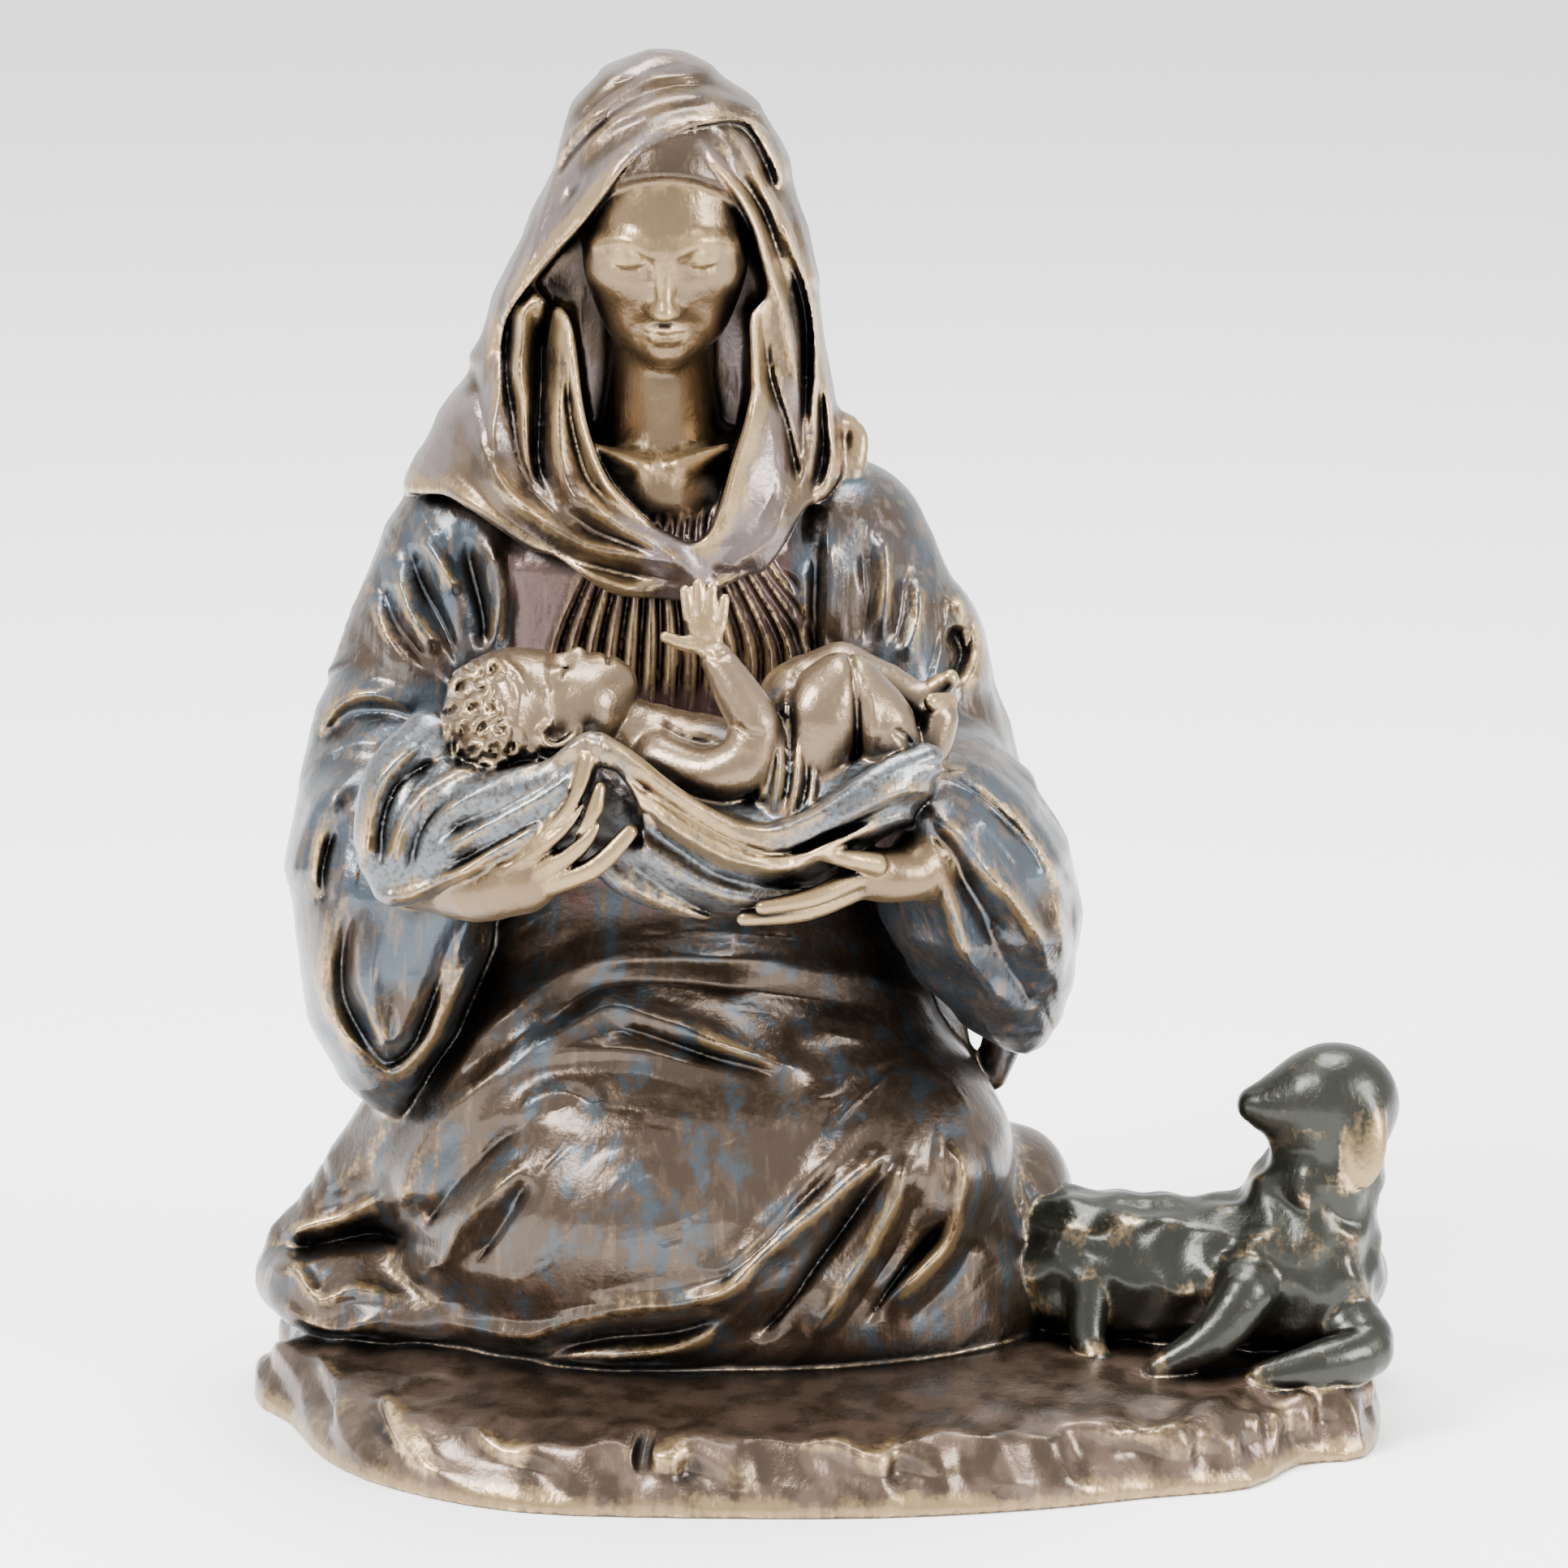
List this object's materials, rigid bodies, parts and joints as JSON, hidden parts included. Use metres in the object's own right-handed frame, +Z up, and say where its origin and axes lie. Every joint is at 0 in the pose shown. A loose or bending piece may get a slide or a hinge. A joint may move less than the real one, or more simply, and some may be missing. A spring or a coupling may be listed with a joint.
{
  "type": "madonna and child statuette",
  "caption": "Cast statuette of a veiled mother kneeling on a slab of rock with a child lying in her arms and a lamb resting at her side.",
  "frame": {"origin": "middle of the flat underside of the rock slab", "axes": "+Z up along the kneeling figure, the longest extent; -Y towards the viewer of her face; +X to the viewer's right, where the lamb lies"},
  "size_m": [0.1942, 0.1304, 0.231],
  "materials": {
    "cast_bronze": "dark patinated cold-cast bronze with rubbed bright edges"
  },
  "bodies": {
    "root": {"mother_child_and_lamb": "cast_bronze"}
  },
  "joints": []
}
